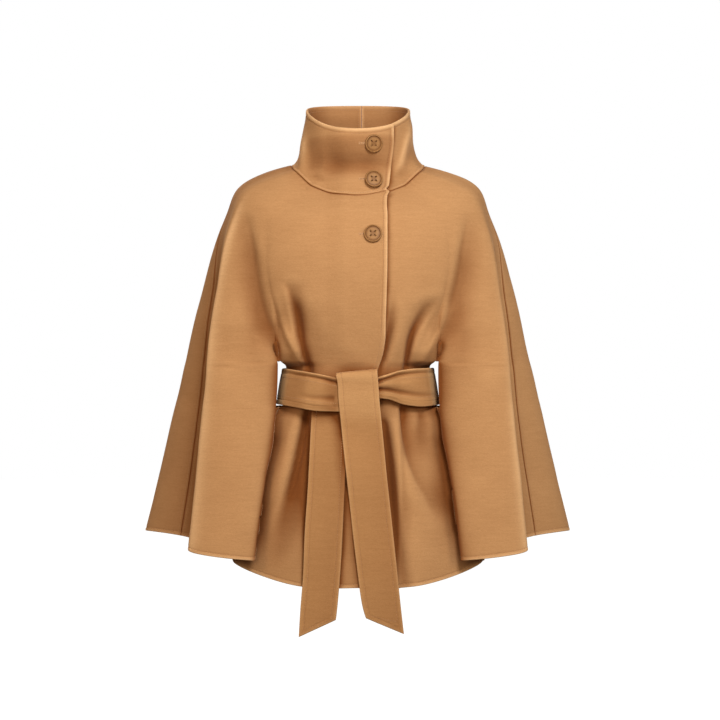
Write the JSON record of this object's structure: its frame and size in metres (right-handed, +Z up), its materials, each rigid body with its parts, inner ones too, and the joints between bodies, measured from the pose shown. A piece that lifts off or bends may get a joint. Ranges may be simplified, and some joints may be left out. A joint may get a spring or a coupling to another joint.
{
  "type": "wool cape",
  "caption": "Hip-length wool cape in its worn shape, with funnel collar, buttoned overlapping front, wide arm panels, belt slits and a tied cloth belt.",
  "frame": {"origin": "middle of the wearer's neck, at the height where the collar seam crosses the side of the neck", "axes": "+X towards the wearer's left, -Y towards the front, +Z up"},
  "size_m": [0.726, 0.311, 0.8885],
  "materials": {
    "right_front": "camel double-face wool coating, brushed matte",
    "left_front": "camel double-face wool coating, brushed matte",
    "back": "camel double-face wool coating, brushed matte",
    "collar_right": "camel double-face wool coating, brushed matte",
    "collar_left": "camel double-face wool coating, brushed matte",
    "button_1": "tonal tan button with four holes and a raised rim, satin",
    "button_2": "tonal tan button with four holes and a raised rim, satin",
    "button_3": "tonal tan button with four holes and a raised rim, satin",
    "belt": "camel wool coating, topstitched edges",
    "belt_knot_tail": "camel wool coating, topstitched edges",
    "belt_under_tail": "camel wool coating, topstitched edges"
  },
  "bodies": {
    "root": {"right_front": "right_front", "left_front": "left_front", "back": "back", "collar_right": "collar_right", "collar_left": "collar_left", "button_1": "button_1", "button_2": "button_2", "button_3": "button_3", "belt": "belt", "belt_knot_tail": "belt_knot_tail", "belt_under_tail": "belt_under_tail"}
  },
  "joints": []
}
